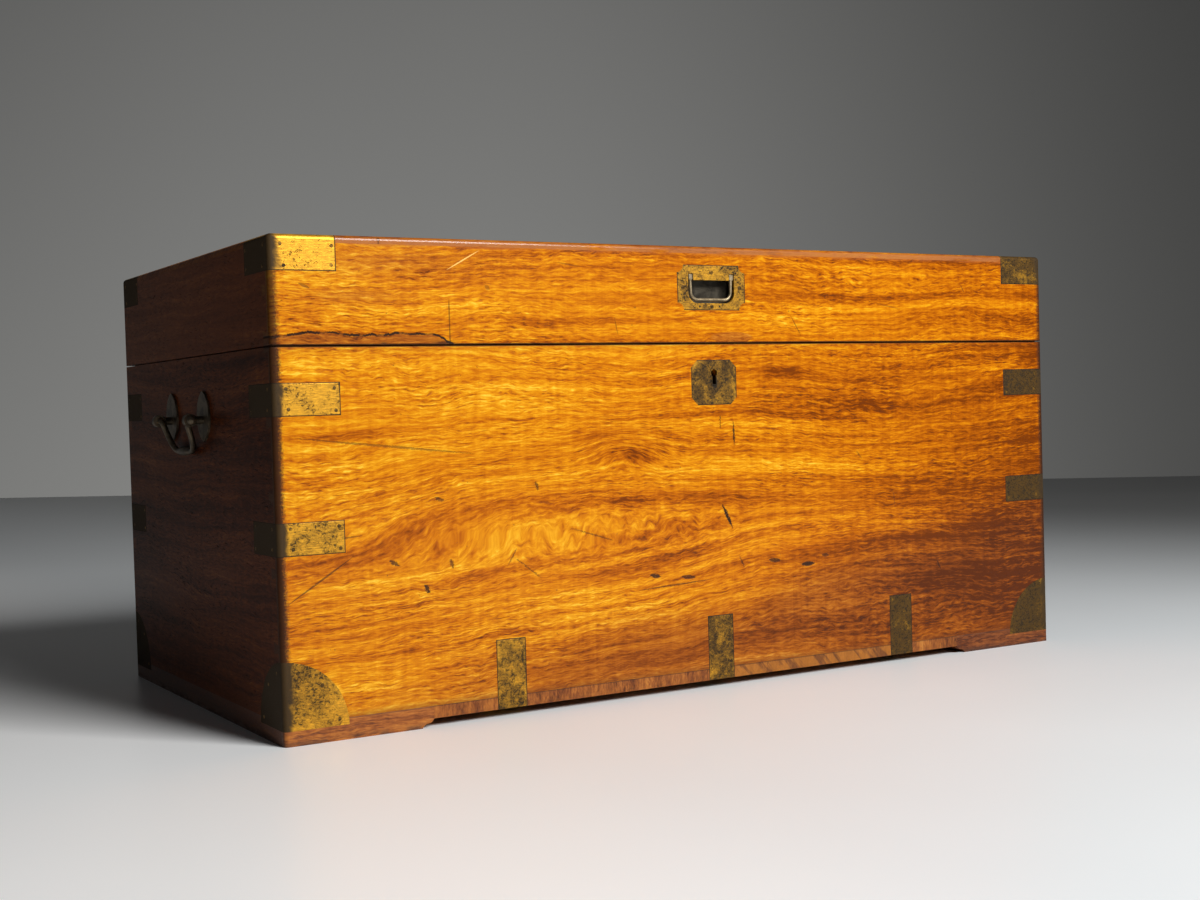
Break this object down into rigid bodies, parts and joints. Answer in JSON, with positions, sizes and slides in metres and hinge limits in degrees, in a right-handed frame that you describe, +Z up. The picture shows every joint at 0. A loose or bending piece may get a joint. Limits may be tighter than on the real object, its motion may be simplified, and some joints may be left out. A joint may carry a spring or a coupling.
{
  "type": "camphor wood trunk",
  "caption": "Dovetailed camphor wood trunk with a deep hinged lid, let-in brass bands, a flush lid handle, hanging end handles and a link-plate lock.",
  "frame": {"origin": "on the floor under the middle of the trunk, centred on its length and its depth", "axes": "+X to the right along the front, +Y from the front to the hinged back, +Z up"},
  "size_m": [1.088, 0.5466, 0.5],
  "materials": {
    "camphor": "French-polished amber camphor wood",
    "red_wood": "reddish brown polished wood",
    "brass": "aged unlacquered brass",
    "dark_bronze": "dark patinated brass",
    "spring_steel": "dull steel"
  },
  "bodies": {
    "case": {"back_board": "camphor", "back_left_bottom_corner": "brass", "back_left_foot": "red_wood", "back_left_lower_band": "brass", "back_left_upper_band": "brass", "back_right_bottom_corner": "brass", "back_right_foot": "red_wood", "back_right_lower_band": "brass", "back_right_upper_band": "brass", "bottom_board_left": "camphor", "bottom_board_right": "camphor", "bottom_end_board_left": "camphor", "bottom_end_board_right": "camphor", "escutcheon": "brass", "front_board": "camphor", "front_left_bottom_corner": "brass", "front_left_foot": "red_wood", "front_left_lower_band": "brass", "front_left_upper_band": "brass", "front_right_bottom_corner": "brass", "front_right_foot": "red_wood", "front_right_lower_band": "brass", "front_right_upper_band": "brass", "hinge_case_screws": "brass", "hinge_pins": "spring_steel", "left_board": "camphor", "left_bottom_strap": "brass", "left_handle_plates": "dark_bronze", "left_hinge_case_leaf": "brass", "left_runner": "red_wood", "lock_case": "brass", "lock_plate": "brass", "middle_bottom_strap": "brass", "right_board": "camphor", "right_bottom_strap": "brass", "right_handle_plates": "dark_bronze", "right_hinge_case_leaf": "brass", "right_runner": "red_wood"},
    "lid": {"lid_front_rail": "camphor", "lid_back_rail": "camphor", "lid_left_rail": "camphor", "lid_right_rail": "camphor", "lid_top": "camphor", "front_left_lid_corner": "brass", "front_right_lid_corner": "brass", "back_left_lid_corner": "brass", "back_right_lid_corner": "brass", "left_hinge_lid_leaf": "brass", "right_hinge_lid_leaf": "brass", "hinge_lid_screws": "brass", "link_plate": "brass", "link_staples": "brass", "lid_handle_plate": "brass", "lid_handle_pan": "brass", "lid_handle_screws": "brass"},
    "bolt": {"lock_bolt": "brass", "lock_spring": "spring_steel"},
    "lid_handle": {"lid_handle_bail": "brass"},
    "left_handle": {"left_handle_bail": "dark_bronze"},
    "right_handle": {"right_handle_bail": "dark_bronze"}
  },
  "joints": [
    {"name": "lid_hinge", "type": "hinge", "parent": "case", "child": "lid", "pos_m": [0, 0.269, 0.39075], "axis": [-1, 0, 0], "range_deg": [0, 95]},
    {"name": "lid_handle_pivot", "type": "hinge", "parent": "lid", "child": "lid_handle", "pos_m": [0, -0.2711, 0.4655], "axis": [-1, 0, 0], "range_deg": [0, 110]},
    {"name": "left_handle_pivot", "type": "hinge", "parent": "case", "child": "left_handle", "pos_m": [-0.537, 0.007, 0.321], "axis": [0, 1, 0], "range_deg": [0, 213]},
    {"name": "right_handle_pivot", "type": "hinge", "parent": "case", "child": "right_handle", "pos_m": [0.537, 0.007, 0.321], "axis": [0, -1, 0], "range_deg": [0, 213]},
    {"name": "lock_bolt_slide", "type": "slide", "parent": "case", "child": "bolt", "axis": [1, 0, 0], "range_m": [0, 0.008]}
  ]
}
